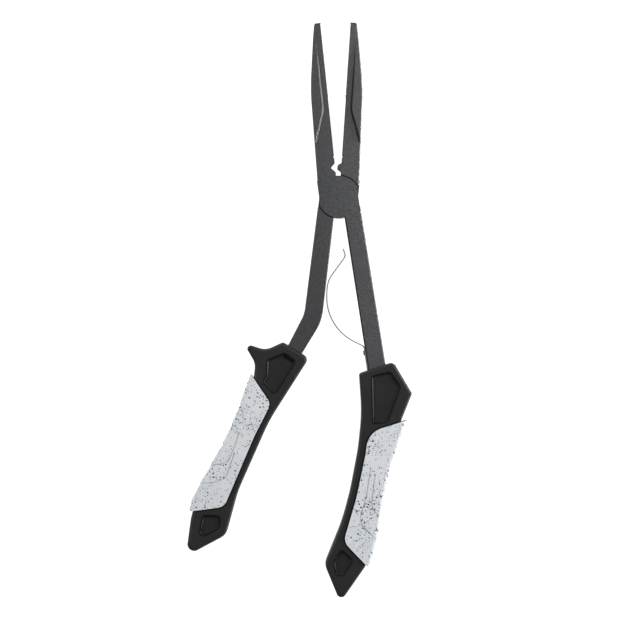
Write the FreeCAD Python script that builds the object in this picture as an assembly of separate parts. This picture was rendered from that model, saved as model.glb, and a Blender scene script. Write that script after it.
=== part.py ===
import FreeCAD
import Part
import math
import os
from FreeCAD import Vector

# Long-reach fishing pliers: two forged halves on a lap joint, one leaf spring and two moulded grips.
# Units are millimetres.
#
# Both halves are drawn the same way round, with the jaws shut: the biting plane is x = 0, the pivot is
# the Z axis and the middle plane of the tool is z = 0. The jaw lies at x < 0 and points along +Y, its
# disc lies above z = 0, and the shank and grip lie on the side x > 0. The back half is then turned half
# a turn about Y, and both halves are swung about the pivot to the open rest pose.
# An outline is a list of corners (x, y, radius): an arc of that radius, or a sharp corner without one.

# Rest pose: each half stands open by this angle, and the origin is on the joint's underside.
HALF_OPENING = 4.83
JOINT_HALF_THICK = 5.0

# Lap joint
DISC_RADIUS = 10.6
SEAT_RADIUS = 10.9
SEAT_END_Y = 11.8
DISC_CHAMFER = 0.25
LAP_GAP = 0.03
FLANK_X = 9.75
RELIEF_RADIUS = 0.6
RELIEF_ANGLE = 31.0
SHOULDER_ANGLE = 23.0
SHOULDER_TRAVEL = 6.3
RIVET_RADIUS = 3.5
RIVET_HEAD_RADIUS = 5.0
RIVET_HEAD_DEPTH = 1.5
RUNNING_CLEARANCE = 0.05

# Jaws
JAW_LENGTH = 87.4
BITE_X = 0.05
ROOT_BITE_X = 0.3
JAW_ROOT_Y = 12.0
TIP_HALF_THICK = 2.6
SPINE_HALF_THICK = [(28.0, 5.4), (60.0, 4.15), (78.0, 2.95)]
WALL_X = 3.2
WALL_LEAN = 1.1
JAW_BACK = [(-9.8, -1.0), (-9.8, 7.0), (-8.65, 50.0), (-8.35, 54.5), (-7.7, 60.5), (-4.95, 78.5),
            (-3.65, 86.2), (-3.1, JAW_LENGTH)]
TOOTH_PITCH = 1.2
TOOTH_DEPTH = 0.7
TIP_TEETH_Y = 51.0
TIP_TEETH = 30
CRIMP_Y = 14.8
CRIMP_NOTCH_DEPTH = 2.3
CRIMP_NOTCH_HALF_WIDTH = 2.4
CRIMP_NOTCH_FLARE = 0.9
CRIMP_TOOTH_HEIGHT = 1.65
CRIMP_TOOTH_HALF_WIDTH = 2.2
CRIMP_CREST_HALF_WIDTH = 0.85
WIRE_NOTCH_Y = 20.2
WIRE_NOTCH_DEPTH = 0.7

# Shanks and tangs
SHANK_ROOT_Y = -14.0
SHANK_END_Y = -88.0
SHANK_END_HALF_THICK = 3.75
SHANK_INNER_ROOT = (2.0, -13.9)
SHANK_INNER_SLOPE = 0.0512
TANG_HALF_THICK = 2.75
TANG_HOLE_RADIUS = 1.75
STEEL_CHAMFER = 0.5

# Grips
GRIP_HALF_THICK = 6.2
GRIP_ROUNDING = 1.5
PAD_HALF_THICK = 7.0
PAD_ROUNDING = 2.2
PAD_SEAT_HALF_THICK = 4.4
POCKET_DEPTH = 1.3
POCKET_FOOT = 0.45
PAD_STEP = 0.35
GROOVE_WIDTH = 0.6
GROOVE_DEPTH = 0.35

# Leaf spring
SPRING_THICK = 0.6
SPRING_HALF_WIDTH = 2.0
SPRING_RIVET_Y = -78.8
SPRING_RIVET_RADIUS = 0.9
SPRING_RIVET_HEAD_RADIUS = 1.2
SPRING_RIVET_HEAD = 0.5
SPRING_RIVET_DEPTH = 3.0

# Shank centrelines from the disc to just inside the grip, as (x, y, width). The back one ends in a
# bend of its own radius and angle, and a straight run after it.
FRONT_SHANK = [(5.95, -6.0, 8.6), (10.3, -88.0, 9.0)]
BACK_SHANK = [(5.85, -6.0, 8.5), (8.63, -56.6, 9.1)]
BEND_RADIUS = 21.0
BEND_ANGLE = 22.7
BEND_FACETS = 7
BACK_SHANK_END = (19.6, -83.2, 7.6)
FRONT_TANG = [(6.6, -84.0), (5.3, -108.0, 60.0), (0.4, -130.0, 80.0), (-7.0, -152.0, 2.0),
              (-2.0, -153.5, 2.0), (7.0, -130.0, 80.0), (12.6, -106.0, 60.0), (13.2, -84.0)]
BACK_TANG = [(13.8, -79.0), (31.2, -112.0, 100.0), (43.0, -142.0, 2.0), (48.5, -140.0, 2.0),
             (36.5, -109.0, 100.0), (20.6, -77.0)]

# Grip outlines. The outer side runs under the pad, so it is set back from the pad's outer face.
FRONT_GRIP = [(1.0, -88.6, 1.7), (0.3, -108.5, 90.0), (-3.25, -125.5, 90.0), (-9.35, -146.0, 90.0),
              (-14.8, -160.4, 90.0), (-25.9, -181.3, 6.0), (-20.1, -201.2, 2.5), (-5.1, -183.8, 15.0),
              (1.75, -167.5, 30.0), (6.05, -148.0, 60.0), (15.55, -121.6, 60.0), (26.3, -101.2, 1.7),
              (18.7, -84.7, 2.6)]
BACK_GRIP = [(9.5, -81.2, 2.8), (27.2, -113.4, 90.0), (40.55, -149.8, 60.0), (45.0, -171.7, 6.5),
             (64.4, -183.8, 3.4), (63.0, -163.8, 30.0), (61.1, -155.8, 10.0), (53.2, -140.3, 60.0),
             (42.7, -115.3, 60.0), (36.5, -94.8, 12.0), (36.1, -85.5, 8.0), (42.7, -75.8, 1.65),
             (31.5, -78.6, 8.0), (23.0, -74.1, 2.0)]
FRONT_POCKET = [(7.3, -90.8, 0.5), (16.3, -89.6, 0.5), (20.5, -96.9, 0.5), (12.4, -113.7, 0.5),
                (5.4, -113.9, 0.5)]
BACK_POCKET = [(16.4, -83.1, 0.5), (21.8, -79.7, 0.5), (30.1, -83.7, 0.5), (29.8, -91.2, 1.0),
               (31.2, -94.4, 0.5), (26.6, -99.2, 0.5), (25.2, -99.4, 0.5)]
FRONT_TAIL_POCKET = [(-16.9, -174.9, 1.0), (-12.0, -180.8, 1.0), (-17.1, -187.3, 2.0),
                     (-20.4, -187.3, 1.5), (-21.0, -181.3, 2.0)]
BACK_TAIL_POCKET = [(48.8, -162.8, 1.0), (56.8, -162.8, 1.0), (58.1, -172.6, 1.5), (55.2, -172.2, 2.0),
                    (48.8, -168.2, 3.0)]

# Pad outlines: the inner side as plain corners, and the outer side as the points where it steps in.
# The third outline of each pad follows its outer face and is rounded at the rims.
FRONT_PAD_INNER = [(-4.2, -185.3, 1.3), (-15.3, -171.0, 6.0), (-6.95, -150.7, 60.0), (0.35, -128.0, 20.0),
                   (2.0, -118.3, 11.0), (22.8, -114.1, 0.4)]
FRONT_PAD_STEPS = [(19.1, -121.9), (15.3, -129.7), (10.0, -143.2), (4.7, -160.6), (2.1, -171.3)]
BACK_PAD_INNER = [(64.3, -161.2, 1.0), (46.8, -157.7, 5.5), (34.2, -121.8, 60.0), (27.0, -105.0, 5.0),
                  (38.1, -90.8, 0.4)]
BACK_PAD_STEPS = [(42.5, -106.5), (45.8, -116.2), (49.7, -126.2), (54.8, -136.9), (59.6, -146.4),
                  (63.4, -156.0)]
FRONT_PAD_OUTER = [(24.8, -110.0), (12.7, -136.4, 60.0), (7.4, -151.2, 60.0), (2.5, -170.7, 40.0),
                   (-4.5, -189.0), (-60.2, -189.0), (-60.2, -110.0)]
BACK_PAD_OUTER = [(37.3, -86.3), (42.9, -106.8, 80.0), (50.2, -126.4, 80.0), (60.4, -147.0, 60.0),
                  (64.4, -157.6, 20.0), (65.0, -165.8), (10.2, -165.8), (10.2, -86.3)]
FRONT_GROOVES = [
    [(1.0, -171.8), (-5.35, -163.9, 3.0), (-5.8, -159.9, 3.0), (-1.5, -148.9, 20.0), (1.9, -135.6)],
    [(3.5, -160.8), (0.6, -155.6, 1.5), (0.7, -152.6, 1.5), (2.15, -145.9, 10.0), (3.9, -139.0)]]
BACK_GROOVES = [
    [(54.8, -137.4), (50.6, -137.0, 3.0), (46.4, -135.2, 2.5), (43.2, -126.4, 20.0), (41.9, -120.0)],
    [(59.6, -146.8), (52.8, -146.2, 6.0), (47.1, -143.7, 3.5), (43.5, -131.0)]]

# Spring centreline at rest, in the front half's drawing frame, from the free end to the foot.
SPRING_LINE = [(-0.45, -25.9), (0.4, -29.6, 2.0), (-10.0, -41.2, 14.0), (-13.2, -64.4, 25.0),
               (4.85, -75.4, 1.8), (5.55, -89.5)]


# ---- Outlines ----

def corner_radius(corner):
    return corner[2] if len(corner) > 2 else 0.0


def heading(start, end):
    """Unit vector from one corner to the next."""
    return Vector(end[0] - start[0], end[1] - start[1], 0).normalize()


def corner_arc(before, corner, after):
    """First point, arc and last point of one corner. A sharp corner has no arc."""
    here = Vector(corner[0], corner[1], 0)
    radius = corner_radius(corner)
    if radius == 0:
        return here, None, here
    back = heading(corner, before)
    on = heading(corner, after)
    half = back.getAngle(on) / 2
    reach = radius / math.tan(half)
    first = here + back * reach
    middle = here + (back + on).normalize() * (radius / math.sin(half) - radius)
    last = here + on * reach
    return first, Part.Arc(first, middle, last).toShape(), last


def closed_wire(corners, z=0.0):
    """Closed outline through rounded corners, at height z."""
    count = len(corners)
    arcs = [corner_arc(corners[i - 1], corners[i], corners[(i + 1) % count]) for i in range(count)]
    edges = []
    for i, (first, arc, last) in enumerate(arcs):
        if arc:
            edges.append(arc)
        following = arcs[(i + 1) % count][0]
        if (following - last).Length > 1e-6:
            edges.append(Part.LineSegment(last, following).toShape())
    wire = Part.Wire(edges)
    wire.translate(Vector(0, 0, z))
    return wire


def slab(corners, low, high):
    """Prism on an outline, from height low to height high."""
    return Part.Face(closed_wire(corners, low)).extrude(Vector(0, 0, high - low))


def shifted(line, distance):
    """An open line moved to the left of its travel, with its arcs kept concentric."""
    moved = []
    for i, corner in enumerate(line):
        into = heading(line[i - 1], corner) if i else heading(corner, line[1])
        out = heading(corner, line[i + 1]) if i < len(line) - 1 else into
        left = Vector(-into.y - out.y, into.x + out.x, 0).normalize()
        stretch = distance / math.cos(into.getAngle(out) / 2)
        turn = into.x * out.y - into.y * out.x
        radius = corner_radius(corner)
        if radius:
            radius -= math.copysign(distance, turn)
        moved.append((corner[0] + left.x * stretch, corner[1] + left.y * stretch, radius))
    return moved


def band(line, width):
    """Closed outline of a band of constant width along an open line."""
    return shifted(line, width / 2) + shifted(line, -width / 2)[::-1]


def cylinder(radius, low, high, x=0.0, y=0.0):
    return Part.makeCylinder(radius, high - low, Vector(x, y, low))


def mirrored(solid):
    """A solid with its mirror image below the middle plane."""
    return [solid, solid.mirror(Vector(0, 0, 0), Vector(0, 0, 1))]


def rounded_rims(solid, half_thick, radius):
    """Rounds every edge of a prism's top and bottom faces."""
    rims = []
    for edge in solid.Edges:
        box = edge.BoundBox
        if box.ZLength < 1e-6 and abs(abs(box.ZMin) - half_thick) < 1e-6:
            rims.append(edge)
    return solid.makeFillet(radius, rims)


# ---- Steel halves ----

def teeth():
    """Corners of the fine V grooves along the biting edge, from their root to the tip."""
    corners = []
    for i in range(TIP_TEETH):
        foot = TIP_TEETH_Y + i * TOOTH_PITCH
        corners.append((-BITE_X, foot))
        corners.append((-BITE_X - TOOTH_DEPTH, foot + TOOTH_PITCH / 2))
    corners.append((-BITE_X, TIP_TEETH_Y + TIP_TEETH * TOOTH_PITCH))
    return corners


def crimp_notch():
    """V notch of the crimper, in the front half's jaw."""
    return [(-ROOT_BITE_X, CRIMP_Y - CRIMP_NOTCH_HALF_WIDTH),
            (-ROOT_BITE_X - CRIMP_NOTCH_DEPTH, CRIMP_Y),
            (-ROOT_BITE_X, CRIMP_Y + CRIMP_NOTCH_HALF_WIDTH)]


def crimp_flares():
    """Room where the notch's upper side leans back towards the jaw's two faces."""
    levels = []
    for z, flare in ((1.0, -CRIMP_NOTCH_FLARE / 3), (6.0, CRIMP_NOTCH_FLARE)):
        foot = (-ROOT_BITE_X - CRIMP_NOTCH_DEPTH + 0.2, CRIMP_Y + 0.2 + flare)
        rim = (1.0, CRIMP_Y + CRIMP_NOTCH_HALF_WIDTH + 1.1 + flare)
        levels.append(closed_wire([(1.0, CRIMP_Y + 0.2), foot, rim], z))
    return mirrored(Part.makeLoft(levels, True, True))


def crimp_tooth():
    """Blunt tooth of the crimper, in the back half's jaw. It enters the notch as the jaws shut."""
    crest = CRIMP_TOOTH_HEIGHT
    return [(-ROOT_BITE_X, CRIMP_Y - CRIMP_TOOTH_HALF_WIDTH),
            (crest, CRIMP_Y - CRIMP_CREST_HALF_WIDTH, 0.9),
            (crest, CRIMP_Y + CRIMP_CREST_HALF_WIDTH, 0.9),
            (-ROOT_BITE_X, CRIMP_Y + CRIMP_TOOTH_HALF_WIDTH)]


def wire_notch():
    """Small V notch above the crimper, in both jaws."""
    return [(-ROOT_BITE_X, WIRE_NOTCH_Y - WIRE_NOTCH_DEPTH),
            (-ROOT_BITE_X - WIRE_NOTCH_DEPTH, WIRE_NOTCH_Y),
            (-ROOT_BITE_X, WIRE_NOTCH_Y + WIRE_NOTCH_DEPTH)]


def jaw_outline(crimper):
    """The jaw, up its biting edge from the disc, round the tip and down its back to the flank."""
    root = [(-ROOT_BITE_X, DISC_RADIUS)] + crimper + wire_notch() + [(-ROOT_BITE_X, TIP_TEETH_Y - 1.0)]
    back = [(x, y) for x, y in reversed(JAW_BACK)]
    return root + teeth() + [(-BITE_X, JAW_LENGTH)] + back + [(-6.0, -4.0), (-1.0, 4.0)]


def octagon(corner, across, half_width, half_thick, chamfer):
    """Bar section centred on a point, its width along the unit vector across and its height along Z."""
    up = Vector(0, 0, 1)
    w = half_width - chamfer
    t = half_thick - chamfer
    steps = [(half_width, -t), (half_width, t), (w, half_thick), (-w, half_thick),
             (-half_width, t), (-half_width, -t), (-w, -half_thick), (w, -half_thick)]
    points = [corner + across * a + up * b for a, b in steps]
    return Part.makePolygon(points + points[:1])


def shank_half_thick(y):
    share = (SHANK_ROOT_Y - y) / (SHANK_ROOT_Y - SHANK_END_Y)
    return JOINT_HALF_THICK - max(share, 0.0) * (JOINT_HALF_THICK - SHANK_END_HALF_THICK)


def shank_stations(bent):
    """Centre, direction across and width at each section of a shank."""
    line = BACK_SHANK if bent else FRONT_SHANK
    along = heading(line[0], line[1])
    across = Vector(-along.y, along.x, 0)
    root_share = (line[0][1] - SHANK_ROOT_Y) / (line[0][1] - line[1][1])
    root = [line[0][i] + root_share * (line[1][i] - line[0][i]) for i in range(3)]
    stations = [(Vector(x, y, 0), across, width) for x, y, width in (line[0], root, line[1])]
    if bent:
        centre = stations[-1][0] + across * BEND_RADIUS
        for i in range(1, BEND_FACETS + 1):
            turn = FreeCAD.Rotation(Vector(0, 0, 1), BEND_ANGLE * i / BEND_FACETS)
            swung = turn.multVec(across)
            stations.append((centre - swung * BEND_RADIUS, swung, line[1][2]))
        stations.append((Vector(BACK_SHANK_END[0], BACK_SHANK_END[1], 0), swung, BACK_SHANK_END[2]))
    return stations


def shank(bent):
    """Tapered bar with chamfered edges, from inside the disc to inside the grip."""
    sections = []
    for centre, across, width in shank_stations(bent):
        sections.append(octagon(centre, across, width / 2, shank_half_thick(centre.y), STEEL_CHAMFER))
    return Part.makeLoft(sections, True, True)


def beveled_back(solid, heights):
    """Chamfers the edges of the jaw's back. heights gives the half thickness at each y."""
    sections = []
    for y, half_thick in heights:
        outer = Vector(back_x(y), y, 0)
        sections.append(octagon(outer + Vector(20, 0, 0), Vector(1, 0, 0), 20, half_thick, STEEL_CHAMFER))
    return solid.common(Part.makeLoft(sections, True, True))


def back_x(y):
    """Where the jaw's back stands at y."""
    for (x0, y0), (x1, y1) in zip(JAW_BACK, JAW_BACK[1:]):
        if y <= y1:
            return x0 + (x1 - x0) * (y - y0) / (y1 - y0)
    return JAW_BACK[-1][0]


def jaw_half_thick(y):
    share = (y - JAW_ROOT_Y) / (JAW_LENGTH - JAW_ROOT_Y)
    return JOINT_HALF_THICK - max(share, 0.0) * (JOINT_HALF_THICK - TIP_HALF_THICK)


def along_line(line, y):
    """Second value of a line of (y, value) points at y, with its last run carried on."""
    for (y0, v0), (y1, v1) in zip(line, line[1:]):
        if y <= y1 or (y1, v1) == line[-1]:
            return v0 + (v1 - v0) * (y - y0) / (y1 - y0)


def spine_wall():
    """Room of the raised back, whose inner wall leans away from the bite as it rises."""
    levels = []
    for z in (0.0, 8.0):
        outline = []
        for x, y, radius in ((-14.0, 13.0, 0), (-WALL_X, 43.8, 14.0), (-WALL_X, 90.0, 0), (-14.0, 90.0, 0)):
            middle = (jaw_half_thick(y) + along_line(SPINE_HALF_THICK, y)) / 2
            outline.append((x - WALL_LEAN * (z - middle), y, radius))
        levels.append(closed_wire(outline, z))
    upper = Part.makeLoft(levels, True, True)
    return mirrored(upper)


def jaw(crimper):
    """Flat jaw with a raised back, whose inner wall curves out to the flank at its root."""
    stations = [y for x, y in JAW_BACK]
    blank = slab(jaw_outline(crimper), -8, 8)
    flat = beveled_back(blank, [(y, jaw_half_thick(y)) for y in sorted(stations + [JAW_ROOT_Y])])
    spine_stations = [y for y, half_thick in SPINE_HALF_THICK] + [y for y in stations if y > JAW_ROOT_Y]
    heights = [(y, along_line(SPINE_HALF_THICK, y)) for y in sorted(spine_stations)]
    raised = [beveled_back(blank.common(side), heights) for side in spine_wall()]
    return flat.fuse(raised)


def lap_disc():
    """The half's own disc with its two shoulders, above the middle plane."""
    rise = math.tan(math.radians(SHOULDER_ANGLE - SHOULDER_TRAVEL))
    disc = cylinder(DISC_RADIUS, LAP_GAP, JOINT_HALF_THICK)
    top_rim = [edge for edge in disc.Edges if edge.BoundBox.ZMin > JOINT_HALF_THICK - 0.01]
    disc = disc.makeChamfer(DISC_CHAMFER, top_rim)
    flanks = slab([(-FLANK_X, -20), (FLANK_X, -20), (FLANK_X, 20), (-FLANK_X, 20)], 0, 8)
    right = [(6.0, 6.0 * rise), (6.0, -9.0), (FLANK_X + 0.3, -9.0), (FLANK_X, -1.0),
             (FLANK_X, FLANK_X * rise)]
    left = [(-x, -y) for x, y in right]
    return [disc.common(flanks), slab(right, LAP_GAP, JOINT_HALF_THICK),
            slab(left, LAP_GAP, JOINT_HALF_THICK)]


def lap_seat():
    """Room below the middle plane for the other half's disc and shoulders."""
    rise = math.tan(math.radians(SHOULDER_ANGLE))
    jaw_side = [(0, 0), (-30, 30 * rise), (-30, -SEAT_END_Y), (0, -SEAT_END_Y)]
    shank_side = [(0, 0), (30, -30 * rise), (30, SEAT_END_Y), (0, SEAT_END_Y)]
    room = [cylinder(SEAT_RADIUS, -9, LAP_GAP), slab(jaw_side, -9, LAP_GAP), slab(shank_side, -9, LAP_GAP)]
    for degrees in (180 - RELIEF_ANGLE, -RELIEF_ANGLE):
        angle = math.radians(degrees)
        foot = (SEAT_RADIUS * math.cos(angle), SEAT_RADIUS * math.sin(angle))
        room.append(cylinder(RELIEF_RADIUS, -9, LAP_GAP, *foot))
    return room


def steel_half(crimper, bent, tang, holes):
    """One forged half: jaw with its raised back, lap disc, shank and tang."""
    half = jaw(crimper).fuse(shank(bent)).cut(lap_seat()).fuse(lap_disc())
    half = half.fuse(slab(tang, -TANG_HALF_THICK, TANG_HALF_THICK))
    half = half.cut([cylinder(TANG_HOLE_RADIUS, -9, 9, x, y) for x, y in holes])
    return half.removeSplitter()


def pivot_holes(solid, clearance):
    """Cuts the rivet's hole and its countersunk head's recess into a half."""
    shaft = cylinder(RIVET_RADIUS + clearance, -9, 9)
    head = cylinder(RIVET_HEAD_RADIUS + clearance, JOINT_HALF_THICK - RIVET_HEAD_DEPTH - clearance, 9)
    return solid.cut([shaft, head])


def pivot_rivet():
    inner = JOINT_HALF_THICK - RIVET_HEAD_DEPTH
    return cylinder(RIVET_RADIUS, -JOINT_HALF_THICK, JOINT_HALF_THICK).fuse(
        mirrored(cylinder(RIVET_HEAD_RADIUS, inner, JOINT_HALF_THICK))).removeSplitter()


# ---- Leaf spring ----

def leaf_spring():
    return slab(band(SPRING_LINE, SPRING_THICK), -SPRING_HALF_WIDTH, SPRING_HALF_WIDTH)


def across_shank(radius, start, end):
    """Cylinder square to the front shank's inner face, between two depths into the shank."""
    face_x = SHANK_INNER_ROOT[0] + (SHANK_INNER_ROOT[1] - SPRING_RIVET_Y) * SHANK_INNER_SLOPE
    into = Vector(1, SHANK_INNER_SLOPE, 0).normalize()
    foot = Vector(face_x, SPRING_RIVET_Y, 0) + into * start
    return Part.makeCylinder(radius, end - start, foot, into)


def spring_rivet():
    shaft = across_shank(SPRING_RIVET_RADIUS, -SPRING_THICK - 0.1, SPRING_RIVET_DEPTH)
    head = across_shank(SPRING_RIVET_HEAD_RADIUS, -SPRING_THICK - SPRING_RIVET_HEAD, -SPRING_THICK)
    return shaft.fuse(head).removeSplitter()


# ---- Grips ----

def pad_outline(inner, steps):
    """Closed outline of a pad, whose outer side steps in a little at each finger ridge."""
    ridges = []
    for x, y in steps:
        ridges.append((x + PAD_STEP / 2, y))
        ridges.append((x - PAD_STEP / 2, y - PAD_STEP))
    return inner + ridges


def pocket_room(outline):
    """Room of a shallow pocket in a grip's face, with sloping walls at its foot."""
    floor = GRIP_HALF_THICK - POCKET_DEPTH
    room = slab(outline, floor, 9)
    foot = [edge for edge in room.Edges if edge.BoundBox.ZMax < floor + 1e-6]
    return room.makeChamfer(POCKET_FOOT, foot)


def grip_body(outline, pockets, pad, tang_and_shank):
    body = rounded_rims(slab(outline, -GRIP_HALF_THICK, GRIP_HALF_THICK), GRIP_HALF_THICK, GRIP_ROUNDING)
    cuts = mirrored(slab(pad, PAD_SEAT_HALF_THICK, 9))
    for pocket in pockets:
        cuts += mirrored(pocket_room(pocket))
    return body.cut(cuts + tang_and_shank)


def grip_pad(outline, pad, outer, grooves):
    envelope = slab(outer, -PAD_HALF_THICK, PAD_HALF_THICK)
    shell = slab(pad, -9, 9).common(rounded_rims(envelope, PAD_HALF_THICK, PAD_ROUNDING))
    core = slab(outline, -PAD_SEAT_HALF_THICK, PAD_SEAT_HALF_THICK)
    cuts = [core]
    for line in grooves:
        cuts += mirrored(slab(band(line, GROOVE_WIDTH), PAD_HALF_THICK - GROOVE_DEPTH, 9))
    return shell.cut(cuts)


# ---- Assembly ----

def place(shape, is_back):
    """Swings a piece from its drawing frame to the rest pose, with the origin on the underside."""
    placed = shape.copy()
    if is_back:
        placed.rotate(Vector(0, 0, 0), Vector(0, 1, 0), 180)
    turn = -HALF_OPENING if is_back else HALF_OPENING
    placed.rotate(Vector(0, 0, 0), Vector(0, 0, 1), turn)
    placed.translate(Vector(0, 0, JOINT_HALF_THICK))
    return placed


def export(name, shape):
    if len(shape.Solids) == 1:
        shape = shape.Solids[0]
    shape.exportStep(os.path.join("parts", name + ".step"))
    print(name, shape.ShapeType, len(shape.Solids), round(shape.Volume), shape.isValid())


def main():
    os.makedirs("parts", exist_ok=True)

    front = steel_half(crimp_notch(), False, FRONT_TANG, [(8.9, -106.0), (3.2, -132.0)])
    back = steel_half(crimp_tooth(), True, BACK_TANG, [(31.0, -106.0), (41.5, -132.0)])
    spring = leaf_spring()
    rivet = spring_rivet()
    spring_hole = across_shank(SPRING_RIVET_RADIUS, -1, SPRING_RIVET_DEPTH)
    front = pivot_holes(front, 0).cut(crimp_flares() + [spring_hole])
    back = pivot_holes(back, RUNNING_CLEARANCE)

    front_pad = pad_outline(FRONT_PAD_INNER, FRONT_PAD_STEPS)
    back_pad = pad_outline(BACK_PAD_INNER, BACK_PAD_STEPS)
    front_pockets = [FRONT_POCKET, FRONT_TAIL_POCKET]
    back_pockets = [BACK_POCKET, BACK_TAIL_POCKET]

    pieces = [
        ("front_half", front, False),
        ("back_half", back, True),
        ("pivot_rivet", pivot_rivet(), False),
        ("leaf_spring", spring.cut(rivet), False),
        ("spring_rivet", rivet, False),
        ("right_grip_body", grip_body(FRONT_GRIP, front_pockets, front_pad, [front, spring]), False),
        ("right_grip_pad", grip_pad(FRONT_GRIP, front_pad, FRONT_PAD_OUTER, FRONT_GROOVES), False),
        ("left_grip_body", grip_body(BACK_GRIP, back_pockets, back_pad, [back]), True),
        ("left_grip_pad", grip_pad(BACK_GRIP, back_pad, BACK_PAD_OUTER, BACK_GROOVES), True),
    ]
    for name, shape, is_back in pieces:
        export(name, place(shape, is_back))


main()
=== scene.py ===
import math

import bmesh
import bpy
from mathutils import Matrix, Vector


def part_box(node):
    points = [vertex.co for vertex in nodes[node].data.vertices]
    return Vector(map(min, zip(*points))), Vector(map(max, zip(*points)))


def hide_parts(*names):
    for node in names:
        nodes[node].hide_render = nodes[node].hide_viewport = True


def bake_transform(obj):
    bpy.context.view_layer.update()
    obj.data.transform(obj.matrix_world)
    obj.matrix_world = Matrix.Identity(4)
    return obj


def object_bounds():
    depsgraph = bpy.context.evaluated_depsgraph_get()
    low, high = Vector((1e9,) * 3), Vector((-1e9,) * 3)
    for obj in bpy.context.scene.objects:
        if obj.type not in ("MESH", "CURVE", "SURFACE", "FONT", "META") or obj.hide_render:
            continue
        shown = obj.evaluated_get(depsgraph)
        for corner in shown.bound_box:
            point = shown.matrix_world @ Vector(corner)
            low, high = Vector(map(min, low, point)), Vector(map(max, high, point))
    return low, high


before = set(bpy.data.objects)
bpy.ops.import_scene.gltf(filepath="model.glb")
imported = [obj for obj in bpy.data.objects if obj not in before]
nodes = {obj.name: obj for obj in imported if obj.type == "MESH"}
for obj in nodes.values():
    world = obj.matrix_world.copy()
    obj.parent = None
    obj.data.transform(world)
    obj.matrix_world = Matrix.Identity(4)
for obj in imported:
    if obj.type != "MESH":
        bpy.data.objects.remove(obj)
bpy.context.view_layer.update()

MM = 0.001

# The strip is cut across every SPRING_STEP.
SPRING_STEP = 1.5 * MM

# Reach either side of the middle line over which the steel is painted paler to the right: painted side
# light.
PAINTED_SIDE_LIGHT_REACH = 12 * MM
FLOOR_HALF_WIDTH = 6.0
FLOOR_DROP = 0.2 * MM


# ---- Node helpers ----

class Graph:
    """A short way to add and link the nodes of one material."""

    def __init__(self, name):
        self.material = bpy.data.materials.new(name)
        self.material.use_nodes = True
        self.tree = self.material.node_tree
        self.tree.nodes.clear()
        self.out = self.add("ShaderNodeOutputMaterial")
        self.shader = self.add("ShaderNodeBsdfPrincipled")
        self.link(self.shader, "BSDF", self.out, "Surface")
        self.coordinates = self.add("ShaderNodeTexCoord")

    def add(self, kind, **settings):
        node = self.tree.nodes.new(kind)
        for key, value in settings.items():
            setattr(node, key, value)
        return node

    def link(self, source, output, target, entry):
        self.tree.links.new(source.outputs[output], target.inputs[entry])

    def mapping(self, scale):
        node = self.add("ShaderNodeMapping")
        node.inputs["Scale"].default_value = scale
        self.link(self.coordinates, "Object", node, "Vector")
        return node

    def noise(self, size_mm, detail=2.0, roughness=0.5, stretch=(1, 1, 1)):
        """Noise whose features are about size_mm across."""
        where = self.mapping([axis / (size_mm * MM) for axis in stretch])
        node = self.add("ShaderNodeTexNoise")
        node.inputs["Scale"].default_value = 1.0
        node.inputs["Detail"].default_value = detail
        node.inputs["Roughness"].default_value = roughness
        self.link(where, "Vector", node, "Vector")
        return node

    def cells(self, size_mm):
        """Cells about size_mm across, each with its own random colour."""
        where = self.mapping([1 / (size_mm * MM)] * 3)
        node = self.add("ShaderNodeTexVoronoi")
        node.inputs["Scale"].default_value = 1.0
        self.link(where, "Vector", node, "Vector")
        return node

    def remap(self, source, output, low, high, to_low, to_high):
        """The output's range from low to high, spread over the range from to_low to to_high."""
        node = self.add("ShaderNodeMapRange")
        for name, value in (("From Min", low), ("From Max", high), ("To Min", to_low), ("To Max", to_high)):
            node.inputs[name].default_value = value
        self.link(source, output, node, "Value")
        return node

    def vary(self, noise, low, high):
        """The middle of a noise, which is most of it, spread over the range from low to high."""
        return self.remap(noise, "Fac", 0.3, 0.7, low, high)

    def math(self, operation, a, b):
        """Math node on two inputs, each a number or a (node, output) pair."""
        node = self.add("ShaderNodeMath", operation=operation)
        for i, value in enumerate((a, b)):
            if isinstance(value, tuple):
                self.tree.links.new(value[0].outputs[value[1]], node.inputs[i])
            else:
                node.inputs[i].default_value = value
        return node

    def mix(self, factor, low, high):
        """Mix of two colours, each a colour or a (node, output) pair, by a (node, output) factor."""
        node = self.add("ShaderNodeMix", data_type="RGBA")
        self.tree.links.new(factor[0].outputs[factor[1]], node.inputs["Factor"])
        for entry, value in ((6, low), (7, high)):
            if isinstance(value[0], bpy.types.Node):
                self.tree.links.new(value[0].outputs[value[1]], node.inputs[entry])
            else:
                node.inputs[entry].default_value = (*value, 1.0)
        return node

    def bump(self, height, output, depth_mm, strength):
        node = self.add("ShaderNodeBump")
        node.inputs["Strength"].default_value = strength
        node.inputs["Distance"].default_value = depth_mm * MM
        self.link(height, output, node, "Height")
        return node

    def across(self):
        """The distance from the tool's middle line, and 1 to its right or -1 to its left."""
        split = self.add("ShaderNodeSeparateXYZ")
        self.link(self.coordinates, "Object", split, "Vector")
        return split, self.math("SIGN", (split, "X"), 0.0)

    def inner_side(self, reach_mm):
        """1 along the edges that face the tool's middle line, 0 elsewhere."""
        rounded = self.add("ShaderNodeBevel", samples=6)
        rounded.inputs["Radius"].default_value = reach_mm * MM
        split = self.add("ShaderNodeSeparateXYZ")
        self.link(rounded, "Normal", split, "Vector")
        outward = self.math("MULTIPLY", (split, "X"), (self.across()[1], "Value"))
        return self.remap(outward, "Value", -0.5, -0.1, 1.0, 0.0)

    def edges(self, reach_mm, flat=0.95):
        """1 on outward edges and corners, falling to 0 about reach_mm away. A higher flat widens it."""
        occlusion = self.add("ShaderNodeAmbientOcclusion", samples=12, inside=True, only_local=True)
        occlusion.inputs["Distance"].default_value = reach_mm * MM
        return self.remap(occlusion, "AO", 0.5, flat, 1.0, 0.0)


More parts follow.
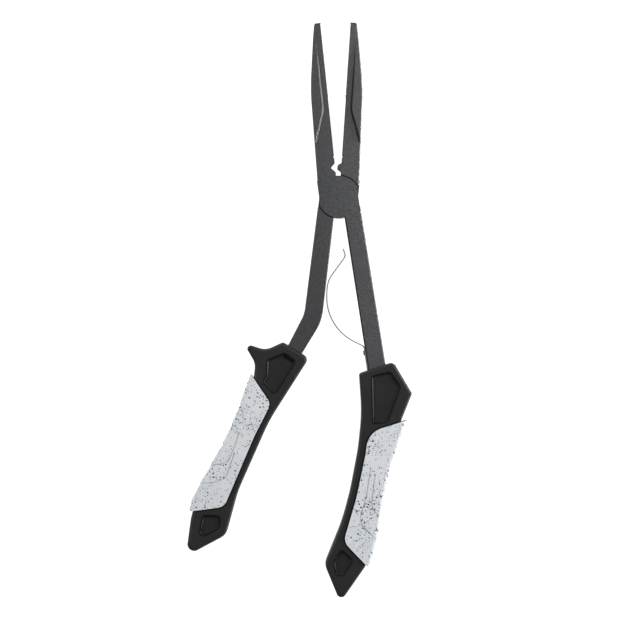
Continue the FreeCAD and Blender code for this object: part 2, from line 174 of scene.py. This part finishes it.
def off_rivet(g):
    """0 on the pivot rivet's head and the ring around it, which are ground flush, and 1 elsewhere."""
    low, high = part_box("pivot_rivet")
    radius = (high[0] - low[0]) / 2
    flat = g.mapping((1, 1, 0))
    reach = g.add("ShaderNodeVectorMath", operation="LENGTH")
    g.link(flat, "Vector", reach, 0)
    return g.remap(reach, "Value", radius + 0.8 * MM, radius + 1.2 * MM, 0.0, 1.0)


def coated_steel():
    """Dark grey grained coating with painted shade along its edges, darkest along those that face the
    middle line, and a painted side light that makes it paler towards +X.
    """
    g = Graph("coated_steel")
    grain = g.noise(0.8, detail=4.0, roughness=0.7)
    cloud = g.noise(7.0, detail=2.0)
    speckle = g.remap(grain, "Fac", 0.36, 0.64, 0.0, 1.0)
    base = g.mix((speckle, "Result"), (0.034, 0.035, 0.037), (0.090, 0.091, 0.095))
    drift = g.mix((g.vary(cloud, 0.0, 0.5), "Result"), (base, "Result"), (0.054, 0.055, 0.058))
    # Painted side light: the coating's colour runs from darker at -X to paler at +X, as if lit more from
    # the right.
    side_lit_coating = g.add("ShaderNodeHueSaturation")
    painted_side_light = g.remap(g.across()[0], "X", -PAINTED_SIDE_LIGHT_REACH, PAINTED_SIDE_LIGHT_REACH, 0.82, 1.20)
    g.link(painted_side_light, "Result", side_lit_coating, "Value")
    g.link(drift, "Result", side_lit_coating, "Color")
    # Painted shade: outward edges are painted darker, and those that face the middle line almost black. The
    # ground-flush rivet and the ring around it are left out.
    edge = g.math("MULTIPLY", (g.edges(0.5), "Result"), (off_rivet(g), "Result"))
    dark = g.remap(edge, "Value", 0.0, 1.0, 0.0, 0.7)
    painted_edge_shade = g.mix((dark, "Result"), (side_lit_coating, "Color"), (0.012, 0.012, 0.013))
    painted_inner_shade_mask = g.math("MULTIPLY", (g.inner_side(0.7), "Result"), (off_rivet(g), "Result"))
    tone = g.mix((painted_inner_shade_mask, "Value"), (painted_edge_shade, "Result"), (0.002, 0.002, 0.002))
    g.link(tone, "Result", g.shader, "Base Color")
    g.link(g.vary(grain, 0.55, 0.42), "Result", g.shader, "Roughness")
    g.shader.inputs["Metallic"].default_value = 0.25
    g.link(g.bump(grain, "Fac", 0.03, 0.6), "Normal", g.shader, "Normal")
    return g.material


def spring_steel():
    """Brushed bare steel strip, brushed across its width."""
    g = Graph("spring_steel")
    brushed = g.noise(0.5, detail=2.0, stretch=(1, 1, 0.15))
    tone = g.mix((g.vary(brushed, 0.0, 1.0), "Result"), (0.46, 0.46, 0.465), (0.62, 0.62, 0.626))
    g.link(tone, "Result", g.shader, "Base Color")
    g.link(g.vary(brushed, 0.30, 0.45), "Result", g.shader, "Roughness")
    g.shader.inputs["Metallic"].default_value = 0.8
    g.link(g.bump(brushed, "Fac", 0.01, 0.5), "Normal", g.shader, "Normal")
    return g.material


def grip_plastic():
    """Black moulded plastic with a fine spark-eroded grain, with painted shade along its edges, which are
    also duller.
    """
    g = Graph("grip_plastic")
    grain = g.noise(0.35, detail=2.0)
    cloud = g.noise(12.0)
    tone = g.mix((g.vary(cloud, 0.0, 1.0), "Result"), (0.0082, 0.0084, 0.0089), (0.0122, 0.0124, 0.0130))
    # Painted shade: the rims are painted darker, and their specular is lowered so that they stay dark.
    edge = g.edges(1.3, flat=0.98)
    painted_rim_shade = g.mix((edge, "Result"), (tone, "Result"), (0.001, 0.001, 0.0012))
    g.link(painted_rim_shade, "Result", g.shader, "Base Color")
    g.link(g.remap(edge, "Result", 0.0, 0.7, 0.42, 0.08), "Result", g.shader, "Specular IOR Level")
    g.link(g.vary(grain, 0.44, 0.54), "Result", g.shader, "Roughness")
    g.link(g.bump(grain, "Fac", 0.02, 0.6), "Normal", g.shader, "Normal")
    return g.material


def speckled_pad():
    """Pale cool grey soft moulding with clusters of small blue-black specks in it."""
    g = Graph("speckled_pad")
    cloud = g.noise(5.0, detail=3.0)
    crowd = g.noise(9.0, detail=1.0)
    previous = g.mix((g.vary(cloud, 0.0, 1.0), "Result"), (0.625, 0.65, 0.68), (0.70, 0.72, 0.745))
    # Each layer: size of its cells in mm, share of them left bare where sparse and where dense, and
    # the radius of its largest speck in cells.
    layers = ((2.3, 0.86, 0.35, 0.24), (1.5, 0.80, 0.20, 0.32), (0.85, 0.80, 0.20, 0.36))
    for size, sparse, dense, radius in layers:
        cells = g.cells(size)
        split = g.add("ShaderNodeSeparateColor")
        g.link(cells, "Color", split, "Color")
        share = g.remap(crowd, "Fac", 0.35, 0.65, sparse, dense)
        chosen = g.math("GREATER_THAN", (split, "Red"), (share, "Result"))
        spread = g.remap(split, "Green", 0.0, 1.0, radius * 0.5, radius)
        inside = g.math("LESS_THAN", (cells, "Distance"), (spread, "Result"))
        speck = g.math("MULTIPLY", (chosen, "Value"), (inside, "Value"))
        shade = g.mix((split, "Blue"), (0.022, 0.025, 0.055), (0.20, 0.22, 0.29))
        previous = g.mix((speck, "Value"), (previous, "Result"), (shade, "Result"))
    g.link(previous, "Result", g.shader, "Base Color")
    grain = g.noise(0.4, detail=2.0)
    g.link(g.vary(grain, 0.55, 0.68), "Result", g.shader, "Roughness")
    g.shader.inputs["Subsurface Weight"].default_value = 0.05
    g.shader.inputs["Subsurface Scale"].default_value = 1.0 * MM
    g.link(g.bump(grain, "Fac", 0.02, 0.5), "Normal", g.shader, "Normal")
    return g.material


def floor_material():
    """Pale board that gives off some light of its own, so that it stays white under the tool."""
    g = Graph("studio_floor")
    cloud = g.noise(300.0)
    tone = g.mix((g.vary(cloud, 0.0, 1.0), "Result"), (0.55, 0.55, 0.55), (0.58, 0.58, 0.58))
    g.link(tone, "Result", g.shader, "Base Color")
    g.shader.inputs["Roughness"].default_value = 0.9
    g.shader.inputs["Specular IOR Level"].default_value = 0.1
    g.shader.inputs["Emission Color"].default_value = (1.0, 1.0, 1.0, 1.0)
    g.shader.inputs["Emission Strength"].default_value = 0.92
    return g.material


def finish_node(name, material):
    """Gives a CAD node its material."""
    data = nodes[name].data
    data.materials.clear()
    data.materials.append(material)


steel = coated_steel()
plastic = grip_plastic()
pad = speckled_pad()
spring_look = spring_steel()
for name in ("front_half", "back_half", "pivot_rivet", "spring_rivet"):
    finish_node(name, steel)
for name in ("right_grip_body", "left_grip_body"):
    finish_node(name, plastic)
for name in ("right_grip_pad", "left_grip_pad"):
    finish_node(name, pad)


# ---- Leaf spring, which bends between the two halves ----

def leaf_spring():
    """The spring's strip, cut across at short steps."""
    mesh = nodes["leaf_spring"].data.copy()
    mesh.name = "spring_strip"
    low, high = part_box("leaf_spring")
    shape = bmesh.new()
    shape.from_mesh(mesh)
    bmesh.ops.dissolve_limit(shape, angle_limit=math.radians(1), verts=shape.verts, edges=shape.edges)
    steps = math.ceil((high[1] - low[1]) / SPRING_STEP)
    for i in range(1, steps):
        cut = (0, low[1] + (high[1] - low[1]) * i / steps, 0)
        everything = shape.verts[:] + shape.edges[:] + shape.faces[:]
        bmesh.ops.bisect_plane(shape, geom=everything, plane_co=cut, plane_no=(0, 1, 0))
    shape.to_mesh(mesh)
    shape.free()
    strip = bpy.data.objects.new("spring_strip", mesh)
    bpy.context.scene.collection.objects.link(strip)
    mesh.materials.clear()
    mesh.materials.append(spring_look)
    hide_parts("leaf_spring")
    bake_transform(strip)


leaf_spring()


# ---- Stage, light and camera ----

def floor():
    """Square floor just under the tool."""
    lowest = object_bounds()[0][2]
    half = FLOOR_HALF_WIDTH
    mesh = bpy.data.meshes.new("studio_floor")
    corners = [(-half, -half, 0), (half, -half, 0), (half, half, 0), (-half, half, 0)]
    mesh.from_pydata(corners, [], [(0, 1, 2, 3)])
    plane = bpy.data.objects.new("studio_floor", mesh)
    bpy.context.scene.collection.objects.link(plane)
    plane.location = (0, 0, lowest - FLOOR_DROP)
    mesh.materials.append(floor_material())


def area_light(name, place, target, size, watts, spread=180):
    """Rectangular light at place that faces target. Its spread is in degrees."""
    data = bpy.data.lights.new(name, "AREA")
    data.shape = "RECTANGLE"
    data.size, data.size_y = size
    data.energy = watts
    data.spread = math.radians(spread)
    lamp = bpy.data.objects.new(name, data)
    bpy.context.scene.collection.objects.link(lamp)
    lamp.location = place
    lamp.rotation_euler = (Vector(target) - Vector(place)).to_track_quat("-Z", "Y").to_euler()


def lights():
    """Soft studio light. jaw_glint is a narrow light on the leaning wall of the left jaw."""
    middle = (-0.015, -0.056, 0.0)
    area_light("low_right", (0.62, -0.12, 0.10), middle, (0.7, 0.14), 5.0)
    area_light("jaw_glint", (0.50, 0.10, 0.075), (-0.008, 0.06, 0.006), (0.16, 0.08), 0.045, spread=16)
    area_light("high_right", (0.50, 0.24, 0.48), middle, (0.45, 0.45), 3.0)
    area_light("high_left", (-0.85, 0.35, 0.85), middle, (0.7, 0.7), 6.5)
    area_light("low_left_top", (-0.35, 0.62, 0.12), (-0.03, -0.10, 0.0), (0.5, 0.14), 1.5)
    world = bpy.data.worlds.new("studio")
    bpy.context.scene.world = world
    world.use_nodes = True
    background = world.node_tree.nodes["Background"]
    background.inputs["Color"].default_value = (1.0, 1.0, 1.0, 1.0)
    background.inputs["Strength"].default_value = 0.25


def camera():
    """Looks straight down on the front face. The tool's axis leans a little to the left of upright."""
    lean = math.radians(1.07)
    view_width = 0.310
    distance = 1.25
    sensor_width = 36.0
    centre = Vector((-0.0154, -0.0561, 0.005))
    right = Vector((math.cos(lean), -math.sin(lean), 0))
    up = Vector((math.sin(lean), math.cos(lean), 0))
    data = bpy.data.cameras.new("camera")
    data.sensor_width = sensor_width
    data.lens = sensor_width * distance / view_width
    data.clip_start = 0.01
    seat = bpy.data.objects.new("camera", data)
    bpy.context.scene.collection.objects.link(seat)
    turn = Matrix((right, up, Vector((0, 0, 1)))).transposed().to_4x4()
    seat.matrix_world = Matrix.Translation(centre + Vector((0, 0, distance))) @ turn
    bpy.context.scene.camera = seat


floor()
lights()
camera()
bpy.context.scene.view_settings.view_transform = "Standard"
